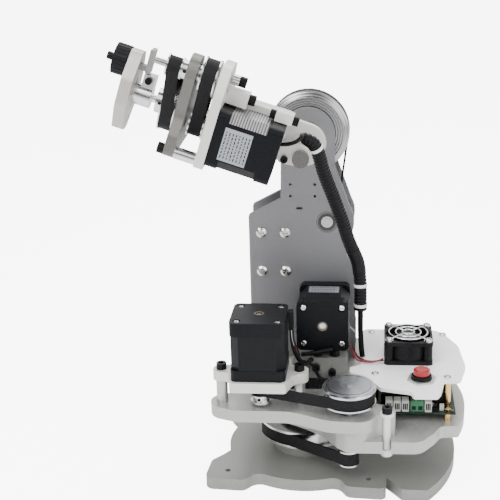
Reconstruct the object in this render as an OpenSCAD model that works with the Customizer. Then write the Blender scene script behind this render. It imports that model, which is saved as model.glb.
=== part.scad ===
/* [Base] */
// Radius of the base plate's round body
base_r = 65; // [60:1:70]
// Thickness of the base plate
base_t = 10; // [8:1:10]
// Radius of the base plate's rear sector
base_rear_r = 124; // [118:1:130]
// Pitch circle diameter of the four mounting holes in the feet
foot_hole_pcd = 160; // [156:1:164]
// Diameter of the mounting holes
foot_hole_d = 4.5; // [4:0.1:5.5]
// Angle of the base under the turntable at rest
base_rest_angle = -4; // [-10:1:10]

/* [Yaw drive] */
// Pitch radius of the fixed pulley on the base
base_pulley_r = 37.24; // [36:0.01:38]
// Pitch radius of the small yaw pulley that runs round it
yaw_pinion_r = 7.16; // [7:0.01:7.5]
// Pitch radius of the yaw drive's large wheel
yaw_wheel_r = 19.1; // [18:0.01:19.5]
// Pitch radius of the motor pulleys
motor_pulley_r = 6.37; // [6:0.01:6.6]

/* [Tower] */
// Height of the pitch axis above the floor
pitch_z = 265; // [262:0.5:268]
// Distance of the pitch axis from the yaw axis
pitch_x = 0.6; // [0:0.1:2]
// Thickness of each tower plate
tower_t = 5; // [4:0.5:6]
// Near face of the near tower plate
tower_near_y = 40.5; // [40.5:0.5:42]
// Near face of the far tower plate
tower_far_y = 73; // [73:0.5:76]
// Pitch radius of the wheel that drives the forearm
pitch_wheel_r = 32.47; // [31:0.01:33]

/* [Forearm] */
// Angle of the forearm above level at rest
rest_tilt = 18.5; // [15:0.5:22]
// Distance from the pitch axis to the roll motor's face
roll_motor_u = 65; // [64:0.5:66]
// How far the roll motor's axis stands towards the near side
roll_motor_w = 46.5; // [46:0.5:48]
// Height of the roll layshaft over the roll axis
roll_lay_v = 37.5; // [37:0.5:39]
// How far the roll layshaft stands towards the near side
roll_lay_w = 50; // [49:0.5:51]
// How far the roll axis stands towards the near side
roll_w = 7; // [6:0.5:8]
// Distance from the pitch axis to the tool plate's near side
tool_u = 136; // [135:0.5:138]

/* [Electronics] */
// Height of the cover plate's top face
cover_z = 81.3; // [80:0.1:83]
// Side of the cooling fan
fan_w = 40; // [40:1:41]
// Thickness of the cooling fan
fan_t = 20; // [18:1:22]

/* [Hidden] */
$fn = 64;

// Square body of the stepper motors, its length and its screw pitch
motor_w = 42.3;
motor_len = 48;
motor_hole = 15.5;
// Radial gap between a shaft and the bore it runs in
run_gap = 0.04;
// Heights of the turntable's plates
lower_z = 40;
middle_z = 50;
upper_z = 59;
deck_z = 69;
// Belt planes
yaw_belt1_z = 78.5;
yaw_belt1_w = 9;
yaw_belt2_z = 25;
yaw_belt2_w = 10;
pitch_belt1_y = 64.7;
pitch_belt1_w = 6;
pitch_belt2_y = 52.5;
pitch_belt2_w = 9.5;
roll_belt1_u = 75;
roll_belt1_w = 9;
roll_belt2_u = 101;
roll_belt2_w = 9;
// Belt thickness outside and inside the pitch line, and the gap over the pulley
belt_out = 0.9;
belt_in = 0.5;
tooth_drop = 0.9;
flange_rise = 1.8;
// Shaft positions
yaw_motor_xy = [-32.4, -49];
yaw_counter_xy = [37, -59];
yaw_motor_z = 97;
motor_plate_z = 89;
pitch_motor_xz = [14.2, 117.7];
pitch_lay_xz = [16, 191.3];
shaft_r = 3.5;
roll_lay_pulley_r = 12.73;

// A point list's corner rounded with radius r
function unit(v) = v / norm(v);
function corner(a, b, c, r, n) =
    r <= 0 ? [b] :
    let (u = unit(a - b))
    let (w = unit(c - b))
    let (half = acos(u * w) / 2)
    let (mid = b + unit(u + w) * r / sin(half))
    let (p = b + u * r / tan(half) - mid)
    let (q = b + w * r / tan(half) - mid)
    let (a1 = atan2(p[1], p[0]))
    let (turn = (atan2(q[1], q[0]) - a1 + 540) % 360 - 180)
    [for (i = [0:n]) mid + r * [cos(a1 + turn * i / n), sin(a1 + turn * i / n)]];
function xy(p) = [p[0], p[1]];
// An outline from [x, y, radius] corners
function rounded(pts, n = 8) = [
    for (i = [0:len(pts) - 1])
    each corner(
        xy(pts[(i + len(pts) - 1) % len(pts)]), xy(pts[i]), xy(pts[(i + 1) % len(pts)]),
        pts[i][2], n
    )
];
function arc(c, r, a0, a1, n = 24) = [
    for (i = [0:n])
    let (a = a0 + (a1 - a0) * i / n)
    [c[0] + r * cos(a), c[1] + r * sin(a)]
];
// Corners of an arc that stay sharp in rounded()
function arc_corners(c, r, a0, a1, n = 24) = [for (p = arc(c, r, a0, a1, n)) [p[0], p[1], 0]];

// Loop round two pulleys, the second at [c, 0]
module loop_2d(c, r1, r2) {
    a = acos((r1 - r2) / c);
    polygon(concat(arc([0, 0], r1, a, 360 - a, 48), arc([c, 0], r2, -a, a, 32)));
}

module belt(c, r1, r2, w) {
    linear_extrude(w)
        difference() {
            loop_2d(c, r1 + belt_out, r2 + belt_out);
            loop_2d(c, r1 - belt_in, r2 - belt_in);
        }
}

// Belt pulley: pitch radius, belt width, flange thickness, hub radius and length on the far side
module pulley(r, w, flange, hub_r, hub_len, bore_r, rise = flange_rise) {
    difference() {
        union() {
            translate([0, 0, -0.3 - flange])
                cylinder(r = r + rise, h = flange);
            translate([0, 0, -0.4])
                cylinder(r = r - tooth_drop, h = w + 0.8);
            translate([0, 0, w + 0.3])
                cylinder(r = r + rise, h = flange);
            if (hub_len > 0)
                translate([0, 0, w + 0.2 + flange])
                    cylinder(r = hub_r, h = hub_len + 0.1);
            if (hub_len < 0)
                translate([0, 0, -0.2 - flange + hub_len])
                    cylinder(r = hub_r, h = -hub_len + 0.1);
        }
        if (bore_r > 0)
            translate([0, 0, -60])
                cylinder(r = bore_r, h = 120);
    }
}

module ring(ro, ri, h) {
    difference() {
        cylinder(r = ro, h = h);
        translate([0, 0, -1])
            cylinder(r = ri, h = h + 2);
    }
}

// Cap bolt with a hex socket, head from z = 0 upwards
module cap_bolt(d, len) {
    difference() {
        cylinder(r = d * 0.8, h = d);
        translate([0, 0, d * 0.45])
            cylinder(r = d * 0.46, h = d, $fn = 6);
    }
    translate([0, 0, -len])
        cylinder(r = d / 2, h = len + 0.01);
}

// Pan-head screw with a cross recess, head from z = 0 upwards
module pan_screw(d, len) {
    difference() {
        union() {
            cylinder(r = d, h = d * 0.35);
            translate([0, 0, d * 0.35])
                cylinder(r1 = d, r2 = d * 0.6, h = d * 0.25);
        }
        for (a = [0, 90])
            rotate(a)
                translate([-d * 0.55, -d * 0.11, d * 0.25])
                    cube([d * 1.1, d * 0.22, d]);
    }
    translate([0, 0, -len])
        cylinder(r = d / 2, h = len + 0.01);
}

// Square with rounded corners
module round_square(w, r) {
    h = w / 2;
    polygon(rounded([[-h, -h, r], [h, -h, r], [h, h, r], [-h, h, r]], 6));
}

// Square with cut corners
module cut_square(w, cut) {
    h = w / 2;
    polygon([
        [-h, -h + cut], [-h + cut, -h], [h - cut, -h], [h, -h + cut],
        [h, h - cut], [h - cut, h], [-h + cut, h], [-h, h - cut]
    ]);
}

module at_motor_holes() {
    for (x = [-1, 1], y = [-1, 1])
        translate([x * motor_hole, y * motor_hole, 0])
            children();
}

// End caps of a stepper motor whose face is at z = 0 and whose body hangs below
module motor_caps() {
    front_t = 9;
    rear_t = 11;
    difference() {
        union() {
            translate([0, 0, -front_t])
                linear_extrude(front_t)
                    round_square(motor_w, 4.5);
            cylinder(r = 10.9, h = 2);
        }
        translate([0, 0, -front_t - 1])
            cylinder(r = 2.5 + run_gap, h = front_t + 5);
        translate([0, 0, -front_t - 1])
            cylinder(r = 13.5, h = 7);
        at_motor_holes()
            translate([0, 0, -5])
                cylinder(r = 1.5, h = 6);
    }
    difference() {
        union() {
            translate([0, 0, -motor_len])
                linear_extrude(rear_t)
                    round_square(motor_w, 4.5);
        }
        translate([0, 0, -motor_len - 1])
            cylinder(r = 2.5 + run_gap, h = rear_t + 5);
        translate([0, 0, -motor_len + 4])
            cylinder(r = 13.5, h = rear_t);
        at_motor_holes()
            translate([0, 0, -motor_len - 1])
                cylinder(r = 3, h = 3);
    }
}

module motor_stator() {
    translate([0, 0, -motor_len + 11])
        linear_extrude(motor_len - 20)
            difference() {
                cut_square(motor_w - 0.6, 6.5);
                circle(r = 13.5);
            }
}

// Rotor, shaft and pulley turning together; belt plane starts at z = belt_z
module motor_shaft(belt_z, belt_w, hub_len, reach = 19) {
    translate([0, 0, -motor_len + 5])
        cylinder(r = 13.2, h = motor_len - 9);
    translate([0, 0, -motor_len + 0.5])
        cylinder(r = 2.5, h = motor_len + reach);
    translate([0, 0, belt_z])
        pulley(motor_pulley_r, belt_w, 1, 6.4, hub_len, 0, 2);
}

module yaw_motor_at() translate([yaw_motor_xy[0], yaw_motor_xy[1], yaw_motor_z]) rotate([180, 0, 0]) children();
module pitch_motor_at() translate([pitch_motor_xz[0], tower_near_y, pitch_motor_xz[1]]) rotate([-90, 0, 0]) children();
// Forearm frame: x runs out along the forearm, z up across it, y towards the near side
module arm() translate([pitch_x, 0, pitch_z]) rotate([0, -rest_tilt, 180]) children();
// A point of the forearm frame whose own z runs out along the forearm
module along(u, w, v) arm() translate([u, w, v]) rotate([0, 90, 0]) children();
// Tower frame: x across, y up the tower, extruded away from the near side from face y
module tower(y) translate([0, y, 0]) rotate([90, 0, 0]) mirror([0, 0, 1]) children();

/* Base */

foot = [[-33, -57, 9], [-41, -70, 7], [-73, -70, 7], [-73, -42, 6], [-65, -31, 10]];
rear_near = [[33, -57, 9], [41, -70, 7], [72, -70, 5], [69, -51, 1], [84, -69, 1.5]];
function reversed(pts) = [for (i = [len(pts) - 1:-1:0]) pts[i]];
function mirrored(pts) = [for (p = pts) [p[0], -p[1], p[2]]];
base_outline = concat(
    arc_corners([0, 0], base_r, 251, 289, 12),
    rear_near,
    arc_corners([0, 0], base_rear_r, -33.5, 33.5, 20),
    reversed(mirrored(rear_near)),
    arc_corners([0, 0], base_r, 71, 109, 12),
    mirrored(foot),
    arc_corners([0, 0], base_r, 159, 201, 12),
    reversed(foot)
);

module base_plate() {
    color("silver")
        rotate(base_rest_angle)
            difference() {
                linear_extrude(base_t)
                    polygon(rounded(base_outline, 6));
                for (a = [45:90:315])
                    rotate(a)
                        translate([foot_hole_pcd / 2, 0, -1])
                            cylinder(r = foot_hole_d / 2, h = base_t + 2);
                for (a = [0:90:270])
                    rotate(a) {
                        translate([22, 0, -1])
                            cylinder(r = 2.1, h = base_t + 2);
                        translate([22, 0, -1])
                            cylinder(r = 4.3, h = 6);
                    }
            }
}

module base_hub() {
    color("lightgray")
        difference() {
            translate([0, 0, base_t])
                cylinder(r1 = 29, r2 = 34, h = 13);
            translate([0, 0, base_t - 1])
                cylinder(r = 11, h = 20);
            translate([0, 0, 14])
                cylinder(r = 14, h = 20);
            rotate(base_rest_angle)
                for (a = [0:90:270])
                    rotate(a)
                        translate([22, 0, base_t - 1])
                            cylinder(r = 2, h = 9);
        }
}

module base_pulley() {
    color("gainsboro")
        translate([0, 0, yaw_belt2_z])
            difference() {
                translate([0, 0, 0.3])
                    pulley(base_pulley_r, yaw_belt2_w - 0.6, 2, 0, 0, 0);
                translate([0, 0, -5])
                    cylinder(r = 11, h = 30);
                translate([0, 0, 4])
                    cylinder(r = 14, h = 30);
            }
}

module yaw_bearings() {
    color("slategray")
        for (z = [14, 29])
            translate([0, 0, z])
                ring(14, 6 + run_gap, 8);
}

module base_screws() {
    color("dimgray")
        rotate(base_rest_angle)
            for (a = [0:90:270])
                rotate(a)
                    translate([22, 0, 5])
                        rotate([180, 0, 0])
                            cap_bolt(4, 13);
}

/* Turntable */

yaw_neck = [[-24, -12, 10], [-13, -28, 10], [2, -37, 20], [17, -49, 30], [27, -65, 14], [36, -73.5, 9]];

module lower_plate() {
    color("darkgray")
        difference() {
            translate([0, 0, lower_z])
                linear_extrude(middle_z - lower_z)
                    polygon(rounded(concat(
                        yaw_neck,
                        [[92, -73, 12], [103, -58, 8], [109, -46, 6], [123, -44.5, 1.5]],
                        arc_corners([0, 0], 131, -18, 38, 20),
                        [[70, 88, 20], [-40, 88, 14], [-40, 30, 20]]
                    ), 6));
            deck_holes(lower_z);
            at_board_posts()
                translate([0, 0, lower_z - 1])
                    cylinder(r = 1.5, h = 12);
            for (p = cover_posts)
                translate([p[0], p[1], lower_z - 1])
                    cylinder(r = 1.5, h = 12);
        }
}

module middle_plate() {
    color("silver")
        difference() {
            translate([0, 0, middle_z])
                linear_extrude(upper_z - middle_z)
                    polygon(rounded(concat(
                        yaw_neck,
                        [[48, -74, 12], [60, -64.5, 7], [73, -63.5, 2], [73, -52, 6], [52, -44, 8]],
                        [[44, -20, 10], [44, 86, 10], [-50, 86, 10], [-50, 20, 20]]
                    ), 6));
            deck_holes(middle_z);
        }
}

module upper_plate() {
    color("silver")
        difference() {
            translate([0, 0, upper_z])
                linear_extrude(deck_z - upper_z)
                    polygon(rounded([
                        [-70, -56, 12], [-52, -63, 14], [-8, -63, 30], [22, -77, 26],
                        [52, -79, 16], [60, -65, 7], [73, -63.5, 2], [73, -52, 6], [54, -44, 8],
                        [44, -20, 10], [44, 86, 10], [-54, 86, 10], [-56, -30, 8], [-75, -40, 10]
                    ], 8));
            deck_holes(upper_z);
            for (p = motor_posts)
                translate([p[0], p[1], upper_z - 1])
                    cylinder(r = 2.5, h = 12);
        }
}

// Bores shared by the three deck plates
module deck_holes(z) {
    translate([yaw_counter_xy[0], yaw_counter_xy[1], z - 1])
        cylinder(r = 9.5, h = 12);
    translate([clamp_xy[0], clamp_xy[1], z - 1]) {
        cylinder(r = clamp_r + 0.3, h = 12);
        translate([-clamp_r - 0.3, -20, 0])
            cube([2 * clamp_r + 0.6, 20, 12]);
    }
    for (a = [30:60:330])
        rotate(a)
            translate([14, 0, z - 1])
                cylinder(r = 1.6, h = 12);
}

clamp_xy = [66.5, -65];
clamp_r = 3;
motor_posts = [[-63.5, -46], [-2, -46.5]];
cover_posts = [[57, -18], [115, -22], [54, 68], [116, 64]];
board_posts = [[62, -34], [115, -34], [66, 60], [108, 60]];
module at_board_posts() for (p = board_posts) translate([p[0], p[1], 0]) children();

module yaw_spindle() {
    color("gray") {
        translate([0, 0, 13])
            cylinder(r = 6, h = 26);
        translate([0, 0, 38])
            cylinder(r = 18, h = 2);
    }
}

module yaw_motor_plate() {
    x0 = yaw_motor_xy[0];
    y0 = yaw_motor_xy[1];
    color("whitesmoke")
        difference() {
            translate([0, 0, motor_plate_z])
                linear_extrude(yaw_motor_z - motor_plate_z)
                    polygon(rounded([
                        [-70, -53, 6], [-57, -53, 5], [-54, -73, 3], [-11, -73, 3],
                        [-6, -56, 10], [5, -53, 6], [5, -40, 6], [-9, -38, 4],
                        [-10, -25, 3], [-55, -25, 3], [-56, -39, 4], [-70, -39, 6]
                    ], 6));
            translate([x0, y0, motor_plate_z - 1])
                cylinder(r = 11, h = 12);
            translate([x0, y0, motor_plate_z])
                at_motor_holes()
                    translate([0, 0, -1])
                        cylinder(r = 1.7, h = 12);
            for (p = motor_posts)
                translate([p[0], p[1], motor_plate_z - 1])
                    cylinder(r = 2.6, h = 12);
        }
}

spacer_xz = [[-39, 182], [-19, 182], [-39, 148], [-19, 148], [-36, 84]];
spacer_screw_r = 2.2;

module standoffs() {
    color("gainsboro") {
        for (p = motor_posts)
            translate([p[0], p[1], deck_z])
                ring(4.5, 2.6, motor_plate_z - deck_z);
        for (p = spacer_xz)
            translate([p[0], tower_near_y + tower_t, p[1]])
                rotate([-90, 0, 0])
                    ring(5, spacer_screw_r, tower_far_y - tower_near_y - tower_t);
    }
}

// Black socket bolts: motor plate, clamp bolt and tower foot
module cap_bolts() {
    color("dimgray") {
        for (p = motor_posts)
            translate([p[0], p[1], yaw_motor_z])
                cap_bolt(5, 40);
        translate([clamp_xy[0], clamp_xy[1], deck_z + 2])
            cap_bolt(5, deck_z - lower_z + 7);
        for (p = foot_top_bolts)
            translate([p[0], p[1], deck_z + foot_h])
                cap_bolt(5, foot_h);
        for (p = foot_face_bolts)
            translate([p[0], foot_near_y, p[1]])
                rotate([90, 0, 0])
                    cap_bolt(4, 6);
    }
    color("whitesmoke") {
        translate([clamp_xy[0], clamp_xy[1], deck_z])
            ring(5.5, 2.5, 2);
        translate([clamp_xy[0], clamp_xy[1], lower_z])
            ring(clamp_r, 2.5, deck_z - lower_z);
        translate([clamp_xy[0], clamp_xy[1], lower_z - 5])
            ring(4.5, 2.5, 5);
    }
}

foot_near_y = -10;
foot_h = 22;
// Bolts of the tower foot: down into the deck, and into its near face
foot_top_bolts = [[10, foot_near_y + 6], [24, foot_near_y + 6]];
foot_face_bolts = [[22, 79], [9, 83]];

module tower_foot() {
    color("gray")
        difference() {
            union() {
                translate([-12, foot_near_y, deck_z])
                    cube([46, tower_near_y - foot_near_y, 8]);
                translate([-12, tower_near_y - 8, deck_z + 7])
                    cube([46, 8, 19.4]);
                translate([4, foot_near_y, deck_z + 7])
                    cube([30, 14, foot_h - 7]);
                translate([4, tower_near_y + tower_t, deck_z])
                    cube([30, tower_far_y - tower_near_y - tower_t, 16]);
            }
            for (p = foot_top_bolts)
                translate([p[0], p[1], deck_z - 1])
                    cylinder(r = 2.5, h = 30);
            for (p = foot_face_bolts)
                translate([p[0], foot_near_y - 1, p[1]])
                    rotate([-90, 0, 0])
                        cylinder(r = 2, h = 7);
        }
}

tower_outline = rounded(concat(
    [[-49.5, 69, 0], [40, 69, 0], [40, 92, 2], [34, 98, 2], [40, 104, 3]],
    [[40, 141, 6], [38.3, 153, 1], [32.4, 162, 3], [32.4, 167.5, 4]],
    arc_corners(pitch_lay_xz, 22.5, -42, 30, 12),
    [[22.6, 239, 12]],
    arc_corners([pitch_x, pitch_z], 22, -2, 182, 28),
    [[-22.5, 211, 0], [-49.5, 196.7, 2]]
), 6);

module tower_plate_shape(hole_r) {
    difference() {
        linear_extrude(tower_t)
            polygon(tower_outline);
        translate([pitch_x, pitch_z, -1])
            cylinder(r = 11, h = tower_t + 2);
        translate([pitch_lay_xz[0], pitch_lay_xz[1], -1])
            cylinder(r = 9.5, h = tower_t + 2);
        for (p = spacer_xz)
            translate([p[0], p[1], -1])
                cylinder(r = spacer_screw_r, h = tower_t + 2);
        for (x = [-14.2, 6], z = [213.4, 223.4])
            translate([x, z, -1])
                cylinder(r = hole_r, h = tower_t + 2);
        translate([-9.5, 202, -1])
            cube([5.2, 2, tower_t + 2]);
    }
}

module tower_near_plate() {
    color("darkgray")
        tower(tower_near_y)
            difference() {
                tower_plate_shape(1.2);
                translate([pitch_motor_xz[0], pitch_motor_xz[1], -1]) {
                    cylinder(r = 11, h = tower_t + 2);
                    at_motor_holes()
                        cylinder(r = 1.7, h = tower_t + 2);
                }
            }
}

module tower_far_plate() {
    color("darkgray")
        tower(tower_far_y)
            tower_plate_shape(1.2);
}

// Bearings of the yaw countershaft, the pitch layshaft and the pitch shaft
module shaft_bearings() {
    color("slategray") {
        for (z = [lower_z + 1, upper_z + 3])
            translate([yaw_counter_xy[0], yaw_counter_xy[1], z])
                ring(9.5, 3 + run_gap, 6);
        for (y = [tower_near_y, tower_far_y]) {
            tower(y)
                translate([pitch_lay_xz[0], pitch_lay_xz[1], 0])
                    ring(9.5, 3 + run_gap, tower_t);
            tower(y)
                translate([pitch_x, pitch_z, 0])
                    ring(11, shaft_r + run_gap, tower_t);
        }
    }
}

// Cross-head screws: tower plates, motor ends and motor faces
module pan_screws() {
    color("silver") {
        for (p = spacer_xz) {
            translate([p[0], tower_near_y, p[1]])
                rotate([90, 0, 0])
                    pan_screw(2 * spacer_screw_r, 14);
            translate([p[0], tower_far_y + tower_t, p[1]])
                rotate([-90, 0, 0])
                    pan_screw(2 * spacer_screw_r, 14);
        }
        pitch_motor_at()
            at_motor_holes()
                translate([0, 0, tower_t])
                    pan_screw(3, 8);
        yaw_motor_at()
            at_motor_holes()
                translate([0, 0, yaw_motor_z - motor_plate_z])
                    pan_screw(3, 11);
        pitch_motor_at()
            motor_end_screws();
        yaw_motor_at()
            motor_end_screws();
    }
}

module motor_end_screws() {
    at_motor_holes()
        translate([0, 0, -motor_len + 2])
            rotate([180, 0, 0])
                pan_screw(2.9, 0);
}

module yaw_motor_caps() color("#26272a") yaw_motor_at() motor_caps();
module yaw_motor_stator() color("#3a3c40") yaw_motor_at() motor_stator();
module pitch_motor_caps() color("#26272a") pitch_motor_at() motor_caps();
module pitch_motor_stator() color("#3a3c40") pitch_motor_at() motor_stator();

/* Belts and shafts of the turntable */

yaw_span = yaw_counter_xy - yaw_motor_xy;
module yaw_belt_first() {
    color("#1c1c1e")
        translate([yaw_motor_xy[0], yaw_motor_xy[1], yaw_belt1_z])
            rotate(atan2(yaw_span[1], yaw_span[0]))
                belt(norm(yaw_span), motor_pulley_r, yaw_wheel_r, yaw_belt1_w);
}

module yaw_belt_second() {
    color("#1c1c1e")
        translate([0, 0, yaw_belt2_z])
            rotate(atan2(yaw_counter_xy[1], yaw_counter_xy[0]))
                belt(norm(yaw_counter_xy), base_pulley_r, yaw_pinion_r, yaw_belt2_w);
}

pitch_span1 = pitch_lay_xz - pitch_motor_xz;
module pitch_belt_first() {
    color("#1c1c1e")
        tower(pitch_belt1_y)
            translate([pitch_motor_xz[0], pitch_motor_xz[1], 0])
                rotate(atan2(pitch_span1[1], pitch_span1[0]))
                    belt(norm(pitch_span1), motor_pulley_r, yaw_wheel_r, pitch_belt1_w);
}

pitch_span2 = pitch_lay_xz - [pitch_x, pitch_z];
module pitch_belt_second() {
    color("#1c1c1e")
        tower(pitch_belt2_y)
            translate([pitch_x, pitch_z, 0])
                rotate(atan2(pitch_span2[1], pitch_span2[0]))
                    belt(norm(pitch_span2), pitch_wheel_r, yaw_pinion_r, pitch_belt2_w);
}

module yaw_motor_shaft() {
    color("silver")
        yaw_motor_at() {
            motor_shaft(yaw_motor_z - yaw_belt1_z - yaw_belt1_w, yaw_belt1_w, 5);
            // collar under the pulley
            translate([0, 0, 24.5])
                cylinder(r = 8.25, h = 1.5);
        }
}

module pitch_motor_shaft() {
    color("silver")
        pitch_motor_at()
            motor_shaft(pitch_belt1_y - tower_near_y, pitch_belt1_w, -5, 31);
}

module yaw_countershaft() {
    color("silver")
        translate([yaw_counter_xy[0], yaw_counter_xy[1], 0]) {
            translate([0, 0, yaw_belt2_z - 2])
                cylinder(r = 3, h = 62);
            translate([0, 0, yaw_belt2_z])
                pulley(yaw_pinion_r, yaw_belt2_w, 1.2, 5, 2, 0, 1.6);
        }
}

module yaw_wheel() {
    color("silver")
        difference() {
            translate([yaw_counter_xy[0], yaw_counter_xy[1], yaw_belt1_z])
                union() {
                    pulley(yaw_wheel_r, yaw_belt1_w, 1.2, 8, -5, 0);
                    translate([0, 0, yaw_belt1_w + 1.4])
                        cylinder(r1 = yaw_wheel_r + 1.3, r2 = yaw_wheel_r + 0.6, h = 2);
                    translate([0, 0, yaw_belt1_w + 3.3])
                        cylinder(r = 2.6, h = 0.6);
                }
            translate([yaw_counter_xy[0], yaw_counter_xy[1], 60])
                cylinder(r = 3, h = 25);
        }
}

module pitch_layshaft() {
    color("silver")
        tower(tower_near_y - 0.5)
            translate([pitch_lay_xz[0], pitch_lay_xz[1], 0])
                cylinder(r = 3, h = tower_far_y + tower_t - tower_near_y + 1);
}

module pitch_layshaft_pulleys() {
    color("silver")
        tower(0)
            translate([pitch_lay_xz[0], pitch_lay_xz[1], 0])
                difference() {
                    union() {
                        translate([0, 0, pitch_belt1_y])
                            pulley(yaw_wheel_r, pitch_belt1_w, 1, 0, 0, 0, 1.4);
                        translate([0, 0, pitch_belt2_y])
                            pulley(yaw_pinion_r, pitch_belt2_w, 1, 0, 0, 0, 1.6);
                    }
                    translate([0, 0, 40])
                        cylinder(r = 3, h = 40);
                }
}

/* Forearm */

module pitch_wheel() {
    color("silver")
        tower(0)
            translate([pitch_x, pitch_z, 0])
                difference() {
                    union() {
                        translate([0, 0, pitch_belt2_y])
                            pulley(pitch_wheel_r, pitch_belt2_w, 1.4, 0, 0, 0, 1.2);
                        translate([0, 0, 47])
                            cylinder(r1 = 29, r2 = pitch_wheel_r + 1.2, h = pitch_belt2_y - 48.6);
                    }
                    translate([0, 0, 40])
                        cylinder(r = shaft_r, h = 40);
                }
}

module pitch_shaft() {
    color("silver")
        tower(0)
            translate([pitch_x, pitch_z, 0]) {
                translate([0, 0, -42])
                    cylinder(r = shaft_r, h = 42 + tower_far_y + tower_t);
                translate([0, 0, -46])
                    cylinder(r = 6.3, h = 46 - lug_w - lug_t - 0.2);
            }
}

bracket_t = 8;
bar_v = 22;
bar_t = 4;
bar_u = 17;
bar_w = 34;
lug_w = 33.5;
lug_t = 6.5;
// Cross block on the bar's rear end and the block behind the wrist
cross_block = [14, bar_w - 0.5, bar_v];
wrist_block = [49, bar_w - 0.5, bar_v + 1];

// Bolts of the bracket, as [u, w, v, turn about the near axis, diameter, length]
bracket_bolt_places = [
    [27, 40.5, 25, 90, 4.4, 9], [14, 40.5, 25, -90, 4.4, 3],
    [49, 40, 29.5, -90, 5, 15], [59, 40, 40, -90, 5, 5.9]
];
module at_bracket_bolt(p) arm() translate([p[0], p[1], p[2]]) rotate([0, p[3], 0]) children();

module forearm_bracket() {
    color("silver")
        difference() {
            arm() {
                // lug plate behind the motor, rounded round the pitch shaft
                translate([0, -11, 0])
                    rotate([90, 0, 0])
                        mirror([0, 0, 1])
                            linear_extrude(bracket_t)
                                polygon(rounded(concat(
                                    arc_corners([0, 0], 16.4, 90, 270, 20),
                                    [[14, -16.4, 4], [22, -21, 4], [roll_motor_u, -21, 0]],
                                    [[roll_motor_u, 16.4, 0]]
                                ), 6));
                // bar over the motor
                translate([bar_u, 15, bar_v])
                    cube([roll_motor_u - bar_u, bar_w - 15, bar_t]);
                // lug round the near end of the shaft
                translate([0, lug_w, 0])
                    rotate([90, 0, 0])
                        mirror([0, 0, 1])
                            linear_extrude(lug_t)
                                polygon(rounded([
                                    [-5.6, -6.4, 5], [-5.6, 6.4, 5], [4, 9.5, 4], [16.4, 9.5, 2],
                                    [16.4, -8.6, 3]
                                ], 6));
                translate([6, lug_w - 2, 5])
                    cube([10, 4, bar_v + bar_t - 6]);
                translate([15, lug_w - 1.5, bar_v + 0.5])
                    cube([4, 1.5, bar_t - 1]);
                translate(cross_block)
                    cube([13, 14, 7.5]);
                translate([14, bar_w - 3, bar_v + 0.7])
                    cube([5, 5, bar_t - 1.5]);
                translate(wrist_block)
                    cube([roll_motor_u - wrist_block[0], 12.5, 11]);
            }
            arm()
                translate([0, -30, 0])
                    rotate([-90, 0, 0])
                        cylinder(r = shaft_r, h = 90);
            for (p = bracket_bolt_places)
                at_bracket_bolt(p)
                    translate([0, 0, -p[5]])
                        cylinder(r = p[4] / 2, h = p[5]);
        }
}

// Black socket bolts of the bracket, and the washers under the wrist's tension bolt
module bracket_bolts() {
    color("dimgray")
        for (p = bracket_bolt_places)
            at_bracket_bolt(p)
                cap_bolt(p[4], p[5]);
    color("dimgray")
        arm()
            translate([11.5, lug_w + lug_t, -4.5])
                rotate([-90, 0, 0])
                    cap_bolt(3.4, 0);
    color("gainsboro")
        arm()
            translate([59.1, 40, 40])
                rotate([0, 90, 0])
                    ring(4, 2.5, 5.8);
}

wrist_near = 68;
wrist_far = -14;
rear_plate_t = 7;

module wrist_rear_plate() {
    color("whitesmoke")
        difference() {
            along(roll_motor_u, 0, 0)
                linear_extrude(rear_plate_t)
                    polygon(rounded([
                        [24.5, wrist_near, 2], [24.5, 20, 6], [18, wrist_far, 6], [-30, wrist_far, 6],
                        [-36, 20, 8], [-52, 34, 10], [-52, 62, 12], [-32, wrist_near, 4]
                    ], 6));
            along(roll_motor_u - 1, roll_motor_w, 0) {
                cylinder(r = 11, h = 12);
                at_motor_holes()
                    cylinder(r = 1.7, h = 12);
            }
            along(roll_motor_u - 1, roll_lay_w, roll_lay_v)
                cylinder(r = 8, h = 12);
            along(roll_motor_u - 1, roll_w, 0)
                cylinder(r = 9.5, h = 12);
            for (p = wrist_posts)
                along(roll_motor_u - 1, p[0], p[1])
                    cylinder(r = 2.5, h = 12);
        }
}

front_plate_u = 88;
front_plate_t = 7.5;
wrist_posts = [[62, -19.5], [-6, -10], [-6, 24]];
// How deep the heads of the two far bolts stand in the front plate
sunk = 3;

module wrist_front_plate() {
    color("darkgray")
        difference() {
            along(front_plate_u, 0, 0)
                linear_extrude(front_plate_t)
                    polygon(rounded([
                        [23.5, 67, 4], [23.5, 50, 8], [17, wrist_far, 6], [-28, wrist_far, 6],
                        [-34, 22, 8], [-42, 36, 8], [-50.5, 40, 9], [-50.5, 61, 11], [-36, 64, 6],
                        [-6, 60, 12], [8, 67, 6]
                    ], 6));
            along(front_plate_u - 1, roll_lay_w, roll_lay_v)
                cylinder(r = 8, h = 12);
            along(front_plate_u - 1, roll_w, 0)
                cylinder(r = 9.5, h = 12);
            for (p = wrist_posts)
                along(front_plate_u - 1, p[0], p[1])
                    cylinder(r = 2.5, h = 12);
            for (i = [1, 2])
                along(front_plate_u + front_plate_t - sunk, wrist_posts[i][0], wrist_posts[i][1])
                    cylinder(r = 4.4, h = 5);
            along(front_plate_u - 1, roll_motor_w, 0)
                cylinder(r = 4, h = 12);
        }
}

module wrist_standoffs() {
    color("gainsboro")
        for (p = wrist_posts)
            along(roll_motor_u + rear_plate_t, p[0], p[1])
                ring(4.5, 2.5, front_plate_u - roll_motor_u - rear_plate_t);
}

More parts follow.
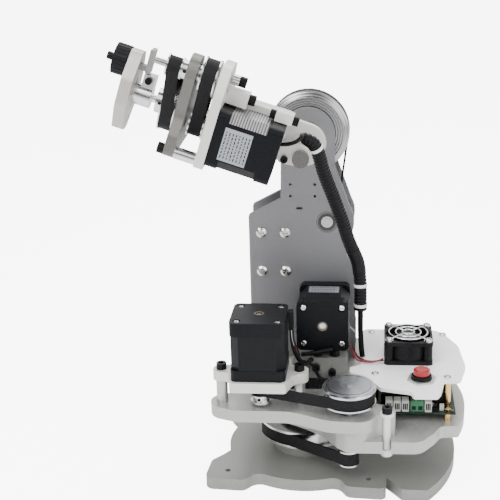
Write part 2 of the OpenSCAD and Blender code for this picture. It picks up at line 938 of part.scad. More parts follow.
module wrist_bolts() {
    color("dimgray")
        along(front_plate_u + front_plate_t, wrist_posts[0][0], wrist_posts[0][1])
            cap_bolt(5, 30);
        for (i = [1, 2])
            along(front_plate_u + front_plate_t, wrist_posts[i][0], wrist_posts[i][1])
                translate([0, 0, -sunk])
                    cap_bolt(5, 30 - sunk);
    color("silver") {
        along(roll_motor_u, roll_motor_w, 0)
            for (p = [[-1, -1], [-1, 1], [1, -1]])
                translate([p[0] * motor_hole, p[1] * motor_hole, rear_plate_t])
                    pan_screw(3, 11);
        along(roll_motor_u, roll_motor_w, 0)
            motor_end_screws();
    }
}

module roll_motor_caps() color("#26272a") along(roll_motor_u, roll_motor_w, 0) motor_caps();
module roll_motor_stator() color("silver") along(roll_motor_u, roll_motor_w, 0) motor_stator();

roll_span1 = [-roll_lay_v, roll_lay_w - roll_motor_w];
module roll_belt_first() {
    color("#1c1c1e")
        along(roll_belt1_u, roll_motor_w, 0)
            rotate(atan2(roll_span1[1], roll_span1[0]))
                belt(norm(roll_span1), motor_pulley_r, roll_lay_pulley_r, roll_belt1_w);
}

roll_span2 = [-roll_lay_v, roll_lay_w - roll_w];
module roll_belt_second() {
    color("#1c1c1e")
        along(roll_belt2_u, roll_w, 0)
            rotate(atan2(roll_span2[1], roll_span2[0]))
                belt(norm(roll_span2), yaw_wheel_r, motor_pulley_r, roll_belt2_w);
}

module wrist_bearings() {
    color("slategray") {
        for (u = [roll_motor_u + 1, front_plate_u + 1]) {
            along(u, roll_lay_w, roll_lay_v)
                ring(8, 2.5 + run_gap, 5);
            along(u, roll_w, 0)
                ring(9.5, 3 + run_gap, 5);
        }
    }
}

module roll_motor_shaft() {
    color("silver")
        along(roll_motor_u, roll_motor_w, 0)
            motor_shaft(roll_belt1_u - roll_motor_u, roll_belt1_w, 0);
}

module roll_layshaft() {
    color("silver") {
        along(roll_motor_u + 1, roll_lay_w, roll_lay_v)
            cylinder(r = 2.5, h = 54);
        along(roll_belt1_u, roll_lay_w, roll_lay_v)
            pulley(roll_lay_pulley_r, roll_belt1_w, 1, 7, 2.4, 0);
        along(roll_belt2_u, roll_lay_w, roll_lay_v)
            pulley(motor_pulley_r, roll_belt2_w, 1, 7, -3.6, 0, 1.6);
    }
}

module roll_shaft() {
    color("silver") {
        along(roll_motor_u + 1, roll_w, 0)
            cylinder(r = 3, h = tool_u - roll_motor_u - 3);
        along(roll_belt2_u, roll_w, 0)
            pulley(yaw_wheel_r, roll_belt2_w, 1, 9.5, 6, 0);
    }
}

// Clamp hub that joins the tool plate to the roll shaft
module tool_clamp() {
    color("silver")
        difference() {
            union() {
                along(tool_u - 14, roll_w, 0)
                    cylinder(r = 8.5, h = 14);
                along(tool_u - 14, roll_w, 12)
                    translate([-5, -6, 0])
                        cube([10, 12, 9]);
            }
            along(tool_u - 16, roll_w, 0)
                cylinder(r = 3, h = 14);
            along(tool_u - 9.5, roll_w, 13)
                rotate([90, 0, 0])
                    translate([0, 0, -20])
                        cylinder(r = 1.6, h = 40);
        }
}

module tool_plate() {
    color("oldlace") {
        difference() {
            along(tool_u, roll_w, 0)
                linear_extrude(9)
                    polygon(rounded([
                        [30, -6, 5], [30, 6, 5], [10, 19, 12], [-12, 19, 12],
                        [-32, 6, 6], [-32, -6, 6], [-12, -19, 12], [10, -19, 12]
                    ], 8));
            for (v = [-10, 10])
                along(tool_u - 1, roll_w, v)
                    cylinder(r = 1.6, h = 12);
            for (w = [-10, 10])
                along(tool_u - 1, roll_w + w, 0)
                    cylinder(r = 1.6, h = 12);
            along(tool_u - 1, roll_w, knob_v)
                cylinder(r = 3 + run_gap, h = 12);
            for (w = [-4, 4])
                along(tool_u - 1, roll_w + w, -21)
                    cylinder(r = 1.2, h = 12);
        }
        // thin blade beside the plate, on its block
        arm() {
            translate([tool_u - 8, roll_w - 7, 18])
                cube([3, 14, 18]);
            translate([tool_u - 5.5, roll_w - 4, 18.5])
                cube([5.6, 8, 4]);
        }
    }
}

knob_v = 21;

// Knurled thumb screw through the tool plate
module thumb_knob() {
    color("#1c1c1e")
        along(0, roll_w, knob_v) {
            translate([0, 0, tool_u + 0.4])
                cylinder(r = 3, h = 26);
            translate([0, 0, tool_u + 9.4])
                difference() {
                    cylinder(r = 12, h = 11);
                    for (i = [0:23])
                        rotate(i * 15)
                            translate([12.4, 0, -1])
                                cylinder(r = 0.9, h = 13, $fn = 16);
                }
        }
}

/* Electronics */

fan_xy = [84.3, 19.3];
button_xy = [94, -26.5];

module electronics_cover() {
    color("whitesmoke")
        difference() {
            translate([0, 0, cover_z - 3])
                linear_extrude(3)
                    polygon(rounded([
                        [36.5, -6, 3], [36.5, -16, 4], [50, -22, 6], [61, -43, 4], [85, -49, 3],
                        [87, -56, 1.5], [105, -56, 1.5], [108, -50, 3], [110, -40, 4],
                        [112, -27.5, 2], [125, -27, 5], [131, 0, 20], [128, 40, 20], [114, 75, 16],
                        [46, 75, 6], [46, 0, 8]
                    ], 6));
            translate([fan_xy[0], fan_xy[1], cover_z - 5])
                cylinder(r = 18.5, h = 8);
            at_fan_holes(cover_z - 5)
                cylinder(r = 1.6, h = 8);
            translate([button_xy[0], button_xy[1], cover_z - 5])
                cylinder(r = 6, h = 8);
            for (p = cover_posts)
                translate([p[0], p[1], cover_z - 5])
                    cylinder(r = 1.6, h = 8);
        }
}

module at_fan_holes(z) {
    for (x = [-1, 1], y = [-1, 1])
        translate([fan_xy[0] + 16 * x, fan_xy[1] + 16 * y, z])
            children();
}

// Screws and brass posts of the cover, the board and the fan
module cover_hardware() {
    color("silver") {
        for (p = cover_posts)
            translate([p[0], p[1], cover_z])
                pan_screw(3, 7);
        at_fan_holes(cover_z + fan_t)
            translate([0, 0, 0.9])
                pan_screw(3, 8);
        at_board_posts()
            translate([0, 0, 58.6])
                pan_screw(2.6, 4);
    }
    color("goldenrod") {
        for (p = cover_posts)
            translate([p[0], p[1], middle_z])
                ring(3, 1.5, cover_z - 3 - middle_z);
        at_board_posts()
            translate([0, 0, middle_z])
                ring(2.8, 1.3, 7);
    }
}

board_z = 57;

module circuit_board() {
    color("#1c3d2b")
        difference() {
            translate([57.5, -39, board_z])
                cube([63.5, 103, 1.6]);
            at_board_posts()
                translate([0, 0, board_z - 1])
                    cylinder(r = 1.3, h = 4);
            for (p = cover_posts)
                translate([p[0], p[1], board_z - 1])
                    cylinder(r = 3.4, h = 4);
        }
}

module board_connectors() {
    color("gainsboro")
        for (x = [65.5, 72, 78.5, 96.5])
            translate([x, -38, board_z + 1.6])
                cube([5.6, 8, 9]);
    color("seagreen")
        translate([85.3, -38, board_z + 1.6])
            cube([10.4, 8.5, 9]);
    color("#1c1c1e") {
        translate([62, -26, board_z + 1.6])
            cube([50, 9, 9]);
        translate([74, 2, board_z + 1.6])
            cube([20, 20, 6]);
        translate([70, 36, board_z + 1.6])
            cube([30, 14, 12]);
    }
}

module fan_frame() {
    color("#1c1c1e")
        difference() {
            translate([fan_xy[0] - fan_w / 2, fan_xy[1] - fan_w / 2, cover_z])
                cube([fan_w, fan_w, fan_t]);
            translate([fan_xy[0], fan_xy[1], cover_z + 3])
                cylinder(r = 18.8, h = fan_t);
            translate([fan_xy[0], fan_xy[1], cover_z - 1])
                difference() {
                    ring(18, 10, 6);
                    for (a = [45:90:315])
                        rotate(a)
                            translate([9, -1.5, 0])
                                cube([10, 3, 6]);
                }
            at_fan_holes(cover_z - 1)
                cylinder(r = 1.6, h = fan_t + 2);
        }
}

module fan_guard() {
    color("silver")
        translate([fan_xy[0], fan_xy[1], cover_z + fan_t]) {
            for (r = [5, 10.5, 16])
                rotate_extrude()
                    translate([r, 1.4])
                        circle(r = 0.7, $fn = 16);
        }
}

module fan_rotor() {
    color("#1c1c1e")
        translate([fan_xy[0], fan_xy[1], cover_z + 4])
            cylinder(r = 10, h = 14);
}

module push_button() {
    color("red")
        translate([button_xy[0], button_xy[1], 0]) {
            translate([0, 0, cover_z - 8])
                cylinder(r = 4, h = 14);
            translate([0, 0, cover_z + 5])
                cylinder(r = 6.6, h = 3.5);
            translate([0, 0, cover_z + 8.4])
                cylinder(r1 = 6.6, r2 = 5, h = 1);
        }
}

module button_bezel() {
    color("#1c1c1e")
        translate([button_xy[0], button_xy[1], 0])
            difference() {
                union() {
                    translate([0, 0, cover_z - 12])
                        cylinder(r = 6, h = 12.5);
                    translate([0, 0, cover_z + 1.5])
                        cylinder(r1 = 8.5, r2 = 7.8, h = 3);
                }
                translate([0, 0, cover_z - 10])
                    cylinder(r = 4.3, h = 20);
                translate([0, 0, cover_z + 2.2])
                    cylinder(r = 7, h = 10);
            }
    color("gainsboro")
        translate([button_xy[0], button_xy[1], cover_z])
            difference() {
                rotate(15)
                    cylinder(r = 12, h = 1.5, $fn = 6);
                translate([0, 0, -1])
                    cylinder(r = 6, h = 5);
            }
}

/* Hose */

// Route of the corrugated hose from the forearm down to the circuit board
hose_r = 5.5;
hose_path = [
    [-0.5, -24.5, 275.2], [2.5, -24, 275.4], [7.4, -22.6, 273], [11.2, -20, 267.6], [13.2, -17, 260],
    [15.4, -13.5, 250], [18.6, -9, 239], [22.5, -4, 227], [26.5, -1, 215], [30.5, 3, 202], [34, 7, 189],
    [38, 11, 177], [42, 14, 166], [44, 15, 152], [44.5, 15, 138], [44.5, 15, 124]
];
function direction(path, i) = unit(path[min(i + 1, len(path) - 1)] - path[max(i - 1, 0)]);
// Rings of a tube: across the route's own vertical plane, so they never twist
function tube_ring(path, i, r, sides) =
    let (d = direction(path, i))
    let (side = unit(cross(d, [0.3, 1, 0.1])))
    let (up = cross(side, d))
    [for (k = [0:sides - 1]) path[i] + r * (side * cos(360 * k / sides) + up * sin(360 * k / sides))];
module tube(path, r, sides = 12) {
    n = len(path);
    polyhedron(
        points = [for (i = [0:n - 1]) each tube_ring(path, i, r, sides)],
        faces = concat(
            [[for (k = [0:sides - 1]) k]],
            [[for (k = [sides - 1:-1:0]) (n - 1) * sides + k]],
            [for (i = [0:n - 2], k = [0:sides - 1])
                [i * sides + k, (i + 1) * sides + k, (i + 1) * sides + (k + 1) % sides, i * sides + (k + 1) % sides]]
        )
    );
}

module cable_hose() {
    color("#1c1c1e") {
        tube(hose_path, hose_r);
        tube([[44.5, 15, 124.5], [44.6, 15.2, 104], [46, 14, 88]], 2.4, 8);
    }
}

base_plate();
base_hub();
base_pulley();
yaw_bearings();
base_screws();
lower_plate();
middle_plate();
upper_plate();
yaw_spindle();
yaw_motor_plate();
standoffs();
cap_bolts();
tower_foot();
tower_near_plate();
tower_far_plate();
shaft_bearings();
pan_screws();
yaw_motor_caps();
yaw_motor_stator();
pitch_motor_caps();
pitch_motor_stator();
yaw_belt_first();
yaw_belt_second();
pitch_belt_first();
pitch_belt_second();
yaw_motor_shaft();
yaw_countershaft();
yaw_wheel();
pitch_motor_shaft();
pitch_layshaft();
pitch_layshaft_pulleys();
pitch_wheel();
pitch_shaft();
forearm_bracket();
bracket_bolts();
wrist_rear_plate();
wrist_front_plate();
wrist_standoffs();
wrist_bolts();
roll_motor_caps();
roll_motor_stator();
roll_belt_first();
roll_belt_second();
wrist_bearings();
roll_motor_shaft();
roll_layshaft();
roll_shaft();
tool_clamp();
tool_plate();
thumb_knob();
electronics_cover();
cover_hardware();
circuit_board();
board_connectors();
fan_frame();
fan_guard();
fan_rotor();
push_button();
button_bezel();
cable_hose();
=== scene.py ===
"""Looks of the belt-driven robot arm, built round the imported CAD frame.

Sizes in the tables are in millimetres; a mesh is scaled to metres when it is made.
"""

import math

import bpy
from mathutils import Matrix, Vector


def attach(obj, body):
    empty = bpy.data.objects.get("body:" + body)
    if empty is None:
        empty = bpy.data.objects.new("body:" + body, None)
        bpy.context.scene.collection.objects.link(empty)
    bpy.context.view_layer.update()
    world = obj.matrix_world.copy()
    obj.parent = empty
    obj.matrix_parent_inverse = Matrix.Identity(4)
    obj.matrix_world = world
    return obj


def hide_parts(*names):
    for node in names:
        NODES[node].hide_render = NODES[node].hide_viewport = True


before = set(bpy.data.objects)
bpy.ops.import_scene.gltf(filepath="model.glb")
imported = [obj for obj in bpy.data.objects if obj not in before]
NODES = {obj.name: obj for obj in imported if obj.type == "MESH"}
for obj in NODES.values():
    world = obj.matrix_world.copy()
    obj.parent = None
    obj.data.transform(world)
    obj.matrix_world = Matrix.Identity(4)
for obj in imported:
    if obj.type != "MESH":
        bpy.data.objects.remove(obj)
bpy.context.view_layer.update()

SCENE = bpy.context.scene
MM = 0.001

# Forearm frame at rest: u runs out along the forearm, w to the near side, v up across it
PITCH_AXIS = Vector((0.6, 0, 265))
TILT = math.radians(18.5)
ARM = Matrix((
    (-math.cos(TILT), 0, math.sin(TILT), PITCH_AXIS.x),
    (0, -1, 0, 0),
    (math.sin(TILT), 0, math.cos(TILT), PITCH_AXIS.z),
    (0, 0, 0, 1),
))
ROW = Matrix.Identity(4)

# Axes of the drives: (x, y) on the deck, (x, z) on the tower, (-v, w) on the forearm
YAW_MOTOR = (-32.4, -49)
YAW_WHEEL = (37, -59)
PITCH_MOTOR = (14.2, 117.7)
PITCH_LAYSHAFT = (16, 191.3)
ROLL_MOTOR = (0, 46.5)
ROLL_LAYSHAFT = (-37.5, 50)
ROLL_SHAFT = (0, 7)

# Pulley radii at the belts' pitch line, and the pitch of their teeth
MOTOR_PULLEY_R = 6.37
WHEEL_R = 19.1
SMALL_PULLEY_R = 7.16
BASE_PULLEY_R = 37.24
PITCH_WHEEL_R = 32.47
ROLL_LAY_PULLEY_R = 12.73
TOOTH_PITCH = 2.0

TOWER_FACE_Y = 40.5
WHEEL_TOP_Z = 90.88
COVER_TOP_Z = 81.3
FAN = (84.3, 19.3)
BUTTON = (94, -26.5)


# ---------------------------------------------------------------- materials

def link(tree, a, b):
    tree.links.new(a, b)


def material(
    name, color, rough, metallic=0.0, spread=0.08, scale=260.0, bump=0.15,
    stretch=(1, 1, 1), rings=None, bands=None, coat=0.0, ring_depth=0.5,
):
    """A procedural finish: fine grain over the colour, with turned rings or stacked bands where asked.

    rings is (centre in mm, axis, rings per mm); bands is (turn about Y, axis, bands per mm).
    """
    m = bpy.data.materials.new(name)
    m.use_nodes = True
    tree = m.node_tree
    shade = tree.nodes["Principled BSDF"]
    shade.inputs["Metallic"].default_value = metallic
    if coat:
        shade.inputs["Coat Weight"].default_value = coat
    if max(color) < 0.03:
        shade.inputs["Specular IOR Level"].default_value = 0.14
    where = tree.nodes.new("ShaderNodeTexCoord")
    place = tree.nodes.new("ShaderNodeMapping")
    place.inputs["Scale"].default_value = stretch
    link(tree, where.outputs["Object"], place.inputs["Vector"])
    grain = tree.nodes.new("ShaderNodeTexNoise")
    grain.inputs["Scale"].default_value = scale
    grain.inputs["Detail"].default_value = 5
    link(tree, place.outputs["Vector"], grain.inputs["Vector"])
    height = grain.outputs["Fac"]
    if rings or bands:
        wave = tree.nodes.new("ShaderNodeTexWave")
        turn = tree.nodes.new("ShaderNodeMapping")
        link(tree, where.outputs["Object"], turn.inputs["Vector"])
        if rings:
            centre, axis, per_mm = rings
            wave.wave_type = "RINGS"
            wave.rings_direction = axis
            turn.inputs["Location"].default_value = [-c * MM for c in centre]
        else:
            angle, axis, per_mm = bands
            wave.bands_direction = axis
            turn.inputs["Rotation"].default_value = (0, angle, 0)
        wave.inputs["Scale"].default_value = per_mm * 1000 * 2 * math.pi / 20
        wave.inputs["Distortion"].default_value = 0.3
        link(tree, turn.outputs["Vector"], wave.inputs["Vector"])
        mix = tree.nodes.new("ShaderNodeMix")
        mix.inputs["Factor"].default_value = ring_depth
        link(tree, grain.outputs["Fac"], mix.inputs["A"])
        link(tree, wave.outputs["Fac"], mix.inputs["B"])
        height = mix.outputs["Result"]
    tint = tree.nodes.new("ShaderNodeValToRGB")
    tint.color_ramp.elements[0].position = 0.25
    tint.color_ramp.elements[1].position = 0.75
    tint.color_ramp.elements[0].color = [max(0, c * (1 - spread)) for c in color] + [1]
    tint.color_ramp.elements[1].color = [min(1, c * (1 + spread)) for c in color] + [1]
    link(tree, height, tint.inputs["Fac"])
    link(tree, tint.outputs["Color"], shade.inputs["Base Color"])
    dull = tree.nodes.new("ShaderNodeMapRange")
    dull.inputs["To Min"].default_value = max(0.04, rough - 0.06)
    dull.inputs["To Max"].default_value = min(1, rough + 0.06)
    link(tree, height, dull.inputs["Value"])
    link(tree, dull.outputs["Result"], shade.inputs["Roughness"])
    if bump:
        push = tree.nodes.new("ShaderNodeBump")
        push.inputs["Strength"].default_value = bump
        push.inputs["Distance"].default_value = 0.0002
        link(tree, height, push.inputs["Height"])
        link(tree, push.outputs["Normal"], shade.inputs["Normal"])
    return m


PLATE = material("plate grey", (0.29, 0.29, 0.275), 0.45, 0.6, 0.08, 900)
DECK = material("deck plate", (0.46, 0.46, 0.44), 0.4, 0.6, 0.10, 240, stretch=(1, 1, 9))
TOWER = material("tower plate", (0.225, 0.225, 0.235), 0.46, 0.6, 0.06, 1100)
# the front wrist plate's colour is darkened well below the other plates: painted shade
WRIST_SHADED = material("wrist plate painted shade", (0.15, 0.145, 0.135), 0.42, 0.6, 0.08, 700)
LIGHT = material("plate light", (0.72, 0.71, 0.68), 0.42, 0.3, 0.04, 700, 0.08)
COVER = material("cover white", (0.97, 0.97, 0.97), 0.35, 0.0, 0.02, 500, 0.05, coat=0.2)
CREAM = material("tool plate", (0.50, 0.48, 0.44), 0.42, 0.45, 0.07, 700)
BRIGHT = material("turned bright", (0.70, 0.70, 0.71), 0.2, 1.0, 0.06, 500, 0.1)
WHEEL_TOP = material(
    "turned rings deck wheel", (0.56, 0.58, 0.61), 0.24, 1.0, 0.30, 700, 0.5,
    rings=((37, -59, 0), "Z", 0.8), ring_depth=0.8,
)
WHEEL_SIDE = material(
    "turned rings pitch wheel", (0.36, 0.36, 0.37), 0.26, 1.0, 0.16, 600, 0.35,
    rings=((0.6, 0, 265), "Y", 0.5), ring_depth=0.75,
)
SHAFT = material("ground steel", (0.40, 0.39, 0.39), 0.22, 1.0, 0.08, 900, 0.1)
DARK_STEEL = material("dark steel", (0.13, 0.125, 0.12), 0.3, 0.9, 0.15, 700, 0.2)
SCREW = material("nickel screw", (0.70, 0.69, 0.66), 0.25, 1.0, 0.12, 600, 0.1)
BLACK = material("black oxide", (0.009, 0.009, 0.010), 0.32, 0.3, 0.3, 900, 0.2)
MOTOR = material("motor black", (0.004, 0.0045, 0.006), 0.38, 0.0, 0.3, 500, 0.15)
STATOR = material("motor body black", (0.006, 0.0065, 0.008), 0.4, 0.0, 0.3, 700, 0.2)
LAMINATION = material(
    "stacked laminations", (0.42, 0.41, 0.42), 0.32, 0.95, 0.45, 500, 0.6,
    bands=(-TILT, "X", 0.5), ring_depth=0.85,
)
RUBBER = material("belt rubber", (0.008, 0.008, 0.009), 0.6, 0.0, 0.3, 500, 0.3)
HOSE = material("hose black", (0.006, 0.006, 0.007), 0.36, 0.0, 0.3, 400, 0.2)
PLASTIC = material("moulded black", (0.007, 0.007, 0.008), 0.4, 0.0, 0.3, 500, 0.15)
BOARD = material("solder mask", (0.006, 0.022, 0.012), 0.3, 0.0, 0.5, 320, 0.2, coat=0.3)
SOCKET = material("white socket", (0.50, 0.50, 0.47), 0.45, 0.0, 0.08, 600, 0.1)
TERMINAL = material("green terminal", (0.03, 0.16, 0.07), 0.45, 0.0, 0.2, 500, 0.1)
BRASS = material("brass", (0.75, 0.52, 0.22), 0.24, 1.0, 0.1, 500, 0.1)
RED = material("button red", (0.32, 0.002, 0.005), 0.3, 0.0, 0.12, 300, 0.04, coat=0.2)
NUT = material("plated nut", (0.50, 0.50, 0.49), 0.3, 0.8, 0.08, 500, 0.1)
WHITE_NYLON = material("white nylon", (0.82, 0.82, 0.80), 0.4, 0.0, 0.04, 500, 0.1)
RED_WIRE = material("red wire", (0.20, 0.006, 0.012), 0.4, 0.0, 0.2, 500, 0.1)
BLACK_WIRE = material("black wire", (0.005, 0.005, 0.006), 0.4, 0.0, 0.3, 500, 0.1)
STICKER = material("label silver", (0.33, 0.35, 0.38), 0.4, 0.4, 0.07, 300, 0.05)
PRINT = material("label lines", (0.012, 0.013, 0.018), 0.5, 0.0, 0.2, 400, 0.02)
BRASS_RING = material("bearing bronze", (0.22, 0.17, 0.12), 0.3, 0.9, 0.15, 500, 0.1)
SHIELD = material("bearing shield", (0.06, 0.06, 0.062), 0.35, 0.8, 0.2, 500, 0.1)
FLOOR = material("floor", (0.97, 0.97, 0.97), 0.45, 0.0, 0.004, 8, 0.0)


FINISH = {
    "base_plate": PLATE, "base_hub": DECK, "base_pulley": BRIGHT, "yaw_bearings": SHAFT,
    "base_screws": BLACK, "lower_plate": DECK, "middle_plate": DECK, "upper_plate": DECK,
    "yaw_spindle": SHAFT, "yaw_motor_plate": LIGHT, "standoffs": NUT, "cap_bolts": BLACK,
    "tower_foot": PLATE, "tower_near_plate": TOWER, "tower_far_plate": TOWER,
    "shaft_bearings": SHAFT, "pan_screws": SCREW, "yaw_motor_caps": MOTOR,
    "yaw_motor_stator": STATOR, "pitch_motor_caps": MOTOR, "pitch_motor_stator": STATOR,
    "yaw_motor_shaft": BRIGHT, "yaw_countershaft": BRIGHT, "yaw_wheel": WHEEL_TOP,
    "pitch_motor_shaft": BRIGHT, "pitch_layshaft": SHAFT, "pitch_layshaft_pulleys": BRIGHT,
    "pitch_wheel": WHEEL_SIDE, "pitch_shaft": SHAFT, "forearm_bracket": LIGHT,
    "bracket_bolts": BLACK, "wrist_rear_plate": LIGHT, "wrist_front_plate": WRIST_SHADED,
    "wrist_standoffs": BRIGHT, "wrist_bolts": BLACK, "roll_motor_caps": MOTOR,
    "roll_motor_stator": STATOR, "wrist_bearings": SHAFT, "roll_motor_shaft": BRIGHT,
    "roll_layshaft": BRIGHT, "roll_shaft": BRIGHT, "tool_clamp": BRIGHT, "tool_plate": CREAM,
    "thumb_knob": PLASTIC, "electronics_cover": COVER, "cover_hardware": SCREW,
    "circuit_board": BOARD, "board_connectors": PLASTIC, "fan_guard": BRIGHT,
    "fan_rotor": PLASTIC, "push_button": RED, "button_bezel": PLASTIC,
}


def arm_point(p):
    """A row-frame point in mm, given in the forearm frame."""
    return ARM.inverted() @ p


def paint_where(node, finish, rule):
    """Faces of a CAD node whose centre, in mm, passes the rule take another finish."""
    mesh = NODES[node].data
    mesh.materials.append(finish)
    slot = len(mesh.materials) - 1
    for face in mesh.polygons:
        if rule(face.center / MM, face.normal):
            face.material_index = slot


def finish_nodes():
    for node, finish in FINISH.items():
        mesh = NODES[node].data
        mesh.materials.clear()
        mesh.materials.append(finish)
        for face in mesh.polygons:
            face.material_index = 0
    paint_where("board_connectors", SOCKET, lambda c, n: c.y < -29.5 and not 84.9 < c.x < 96.1)
    paint_where("board_connectors", TERMINAL, lambda c, n: c.y < -29.2 and 84.9 < c.x < 96.1)
    paint_where("button_bezel", NUT,
                lambda c, n: 81.25 < c.z < 82.9 and math.hypot(c.x - BUTTON[0], c.y - BUTTON[1]) > 8)
    paint_where("cover_hardware", BRASS, lambda c, n: c.z < 78.4)
    paint_where("cap_bolts", WHITE_NYLON, lambda c, n: c.y < -58 and c.x > 50 and c.z < 71.05)
    paint_where("bracket_bolts", BRIGHT, lambda c, n: arm_point(c).z > 35 and arm_point(c).x > 59.05)
    paint_where("wrist_bolts", SCREW,
                lambda c, n: arm_point(c).x < 74 and arm_point(c).y > 30 and arm_point(c).z > -18.5)
    # the tool plate's faces below u 135.9, nearer the wrist, take the darker plate grey: painted shade on
    # that side of the cream plate
    paint_where("tool_plate", PLATE, lambda c, n: arm_point(c).x < 135.9)
    paint_where("roll_layshaft", SHAFT, lambda c, n: arm_point(c).x > 111.5)
    paint_where("roll_motor_stator", LAMINATION, lambda c, n: (ARM.to_3x3().inverted() @ n).z > 0.3)
    paint_where("standoffs", BRIGHT, lambda c, n: c.y > -20)
    paint_where("pitch_shaft", DARK_STEEL, lambda c, n: c.y < -39)


def soften(node, width):
    """A fine bevel on a CAD plate's edges, so that they catch the light."""
    edge = NODES[node].modifiers.new("edge", "BEVEL")
    edge.width = width * MM
    edge.segments = 2
    edge.limit_method = "ANGLE"
    edge.angle_limit = math.radians(50)
    edge.harden_normals = False


# ---------------------------------------------------------------- shapes

def add_mesh(name, points, faces, finish, body, frame_of=ROW, smooth=False):
    """A mesh from points in mm in a frame, riding on a body."""
    mesh = bpy.data.meshes.new(name)
    mesh.from_pydata([tuple((frame_of @ Vector(p)) * MM) for p in points], [], faces)
    mesh.validate()
    mesh.materials.append(finish)
    if smooth:
        for face in mesh.polygons:
            face.use_smooth = True
    obj = bpy.data.objects.new(name, mesh)
    SCENE.collection.objects.link(obj)
    if body:
        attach(obj, body)
    return obj


def add_box(name, low, high, finish, body, frame_of=ROW):
    x0, y0, z0 = low
    x1, y1, z1 = high
    points = [(x, y, z) for z in (z0, z1) for y in (y0, y1) for x in (x0, x1)]
    faces = [(0, 2, 3, 1), (4, 5, 7, 6), (0, 1, 5, 4), (2, 6, 7, 3), (0, 4, 6, 2), (1, 3, 7, 5)]
    return add_mesh(name, points, faces, finish, body, frame_of)


def axis_frame(centre, axis):
    """A frame at a point whose z runs along the axis."""
    turn = Vector(axis).to_track_quat("Z", "Y").to_matrix().to_4x4()
    return Matrix.Translation(centre) @ turn


def add_lathe(name, profile, centre, axis, finish, body, frame_of=ROW, steps=48):
    """A closed profile of (radius, height) points turned round an axis."""
    n = len(profile)
    points, faces = [], []
    for i in range(steps):
        a = 2 * math.pi * i / steps
        points += [(r * math.cos(a), r * math.sin(a), z) for r, z in profile]
    for i in range(steps):
        j = (i + 1) % steps
        for k in range(n):
            q = (k + 1) % n
            faces.append((i * n + k, j * n + k, j * n + q, i * n + q))
    return add_mesh(name, points, faces, finish, body, frame_of @ axis_frame(centre, axis))


def add_ring(name, inner, outer, thick, centre, axis, finish, body, frame_of=ROW, steps=48):
    profile = [(inner, 0), (outer, 0), (outer, thick), (inner, thick)]
    return add_lathe(name, profile, centre, axis, finish, body, frame_of, steps)


def smooth_path(points, step):
    """Points about every step mm along a curve through the given ones."""
    p = [Vector(q) for q in points]
    p = [2 * p[0] - p[1]] + p + [2 * p[-1] - p[-2]]
    out = []
    for i in range(1, len(p) - 2):
        count = max(1, round((p[i + 1] - p[i]).length / step))
        for k in range(count):
            t = k / count
            a, b, c, d = p[i - 1:i + 3]
            out.append(0.5 * (2 * b + (c - a) * t + (2 * a - 5 * b + 4 * c - d) * t * t
                              + (3 * b - a - 3 * c + d) * t ** 3))
    out.append(p[-2])
    return out


def add_tube(name, path, radius, finish, body, sides=12, frame_of=ROW):
    """A tube along a path; radius is a number or a function of the ring's number."""
    side = Vector((0.3, 1, 0.1))
    points, faces = [], []
    n = len(path)
    for i, p in enumerate(path):
        ahead = (path[min(i + 1, n - 1)] - path[max(i - 1, 0)]).normalized()
        side = (side - ahead * side.dot(ahead)).normalized()
        up = ahead.cross(side)
        r = radius(i) if callable(radius) else radius
        for k in range(sides):
            a = 2 * math.pi * k / sides
            points.append(p + (side * math.cos(a) + up * math.sin(a)) * r)
    for i in range(n - 1):
        for k in range(sides):
            q = (k + 1) % sides
            faces.append((i * sides + k, i * sides + q, (i + 1) * sides + q, (i + 1) * sides + k))
    faces.append(tuple(reversed(range(sides))))
    faces.append(tuple((n - 1) * sides + k for k in range(sides)))
    return add_mesh(name, points, faces, finish, body, frame_of, smooth=True)


# ---------------------------------------------------------------- belts

def belt_outline(c1, r1, c2, r2, pitch=TOOTH_PITCH):
    """Points and outward directions along a belt's pitch line, four to a tooth."""
    c1, c2 = Vector(c1), Vector(c2)
    gap = c2 - c1
    lean = math.acos((r1 - r2) / gap.length)
    base = math.atan2(gap.y, gap.x)
    straight = gap.length * math.sin(lean)
    parts = [
        ("arc", c1, r1, base + lean, 2 * math.pi - 2 * lean),
        ("line", c1 + r1 * unit(base - lean), c2 + r2 * unit(base - lean), base - lean, straight),
        ("arc", c2, r2, base - lean, 2 * lean),
        ("line", c2 + r2 * unit(base + lean), c1 + r1 * unit(base + lean), base + lean, straight),
    ]
    lengths = [p[2] * p[4] if p[0] == "arc" else p[4] for p in parts]
    total = sum(lengths)
    count = round(total / pitch) * 4
    out = []
    for i in range(count):
        s = total * i / count
        k = 0
        while k < 3 and s > lengths[k]:
            s -= lengths[k]
            k += 1
        kind, a, b, angle, extent = parts[k]
        if kind == "arc":
            turn = angle + extent * s / lengths[k]
            out.append((a + b * unit(turn), unit(turn)))
        else:
            out.append((a.lerp(b, s / lengths[k]), unit(angle)))
    return out


def unit(angle):
    return Vector((math.cos(angle), math.sin(angle)))


def add_belt(node, c1, r1, c2, r2, start, width, to_frame, frame_of, body):
    """A closed belt with teeth inside, in place of the smooth CAD loop."""
    points, faces = [], []
    line = belt_outline(c1, r1, c2, r2)
    n = len(line)
    for i, (p, out) in enumerate(line):
        tooth = 0.86 if i % 4 in (0, 1) else 0.5
        for h in (start, start + width):
            for d in (0.88, -tooth):
                q = p + out * d
                points.append(to_frame(q.x, q.y, h))
    for i in range(n):
        j = (i + 1) % n
        a, b = 4 * i, 4 * j
        faces += [(a, b, b + 2, a + 2), (a + 1, a + 3, b + 3, b + 1),
                  (a, a + 1, b + 1, b), (a + 2, b + 2, b + 3, a + 3)]
    obj = add_mesh(node + "_toothed", points, faces, RUBBER, body, frame_of)
    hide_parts(node)


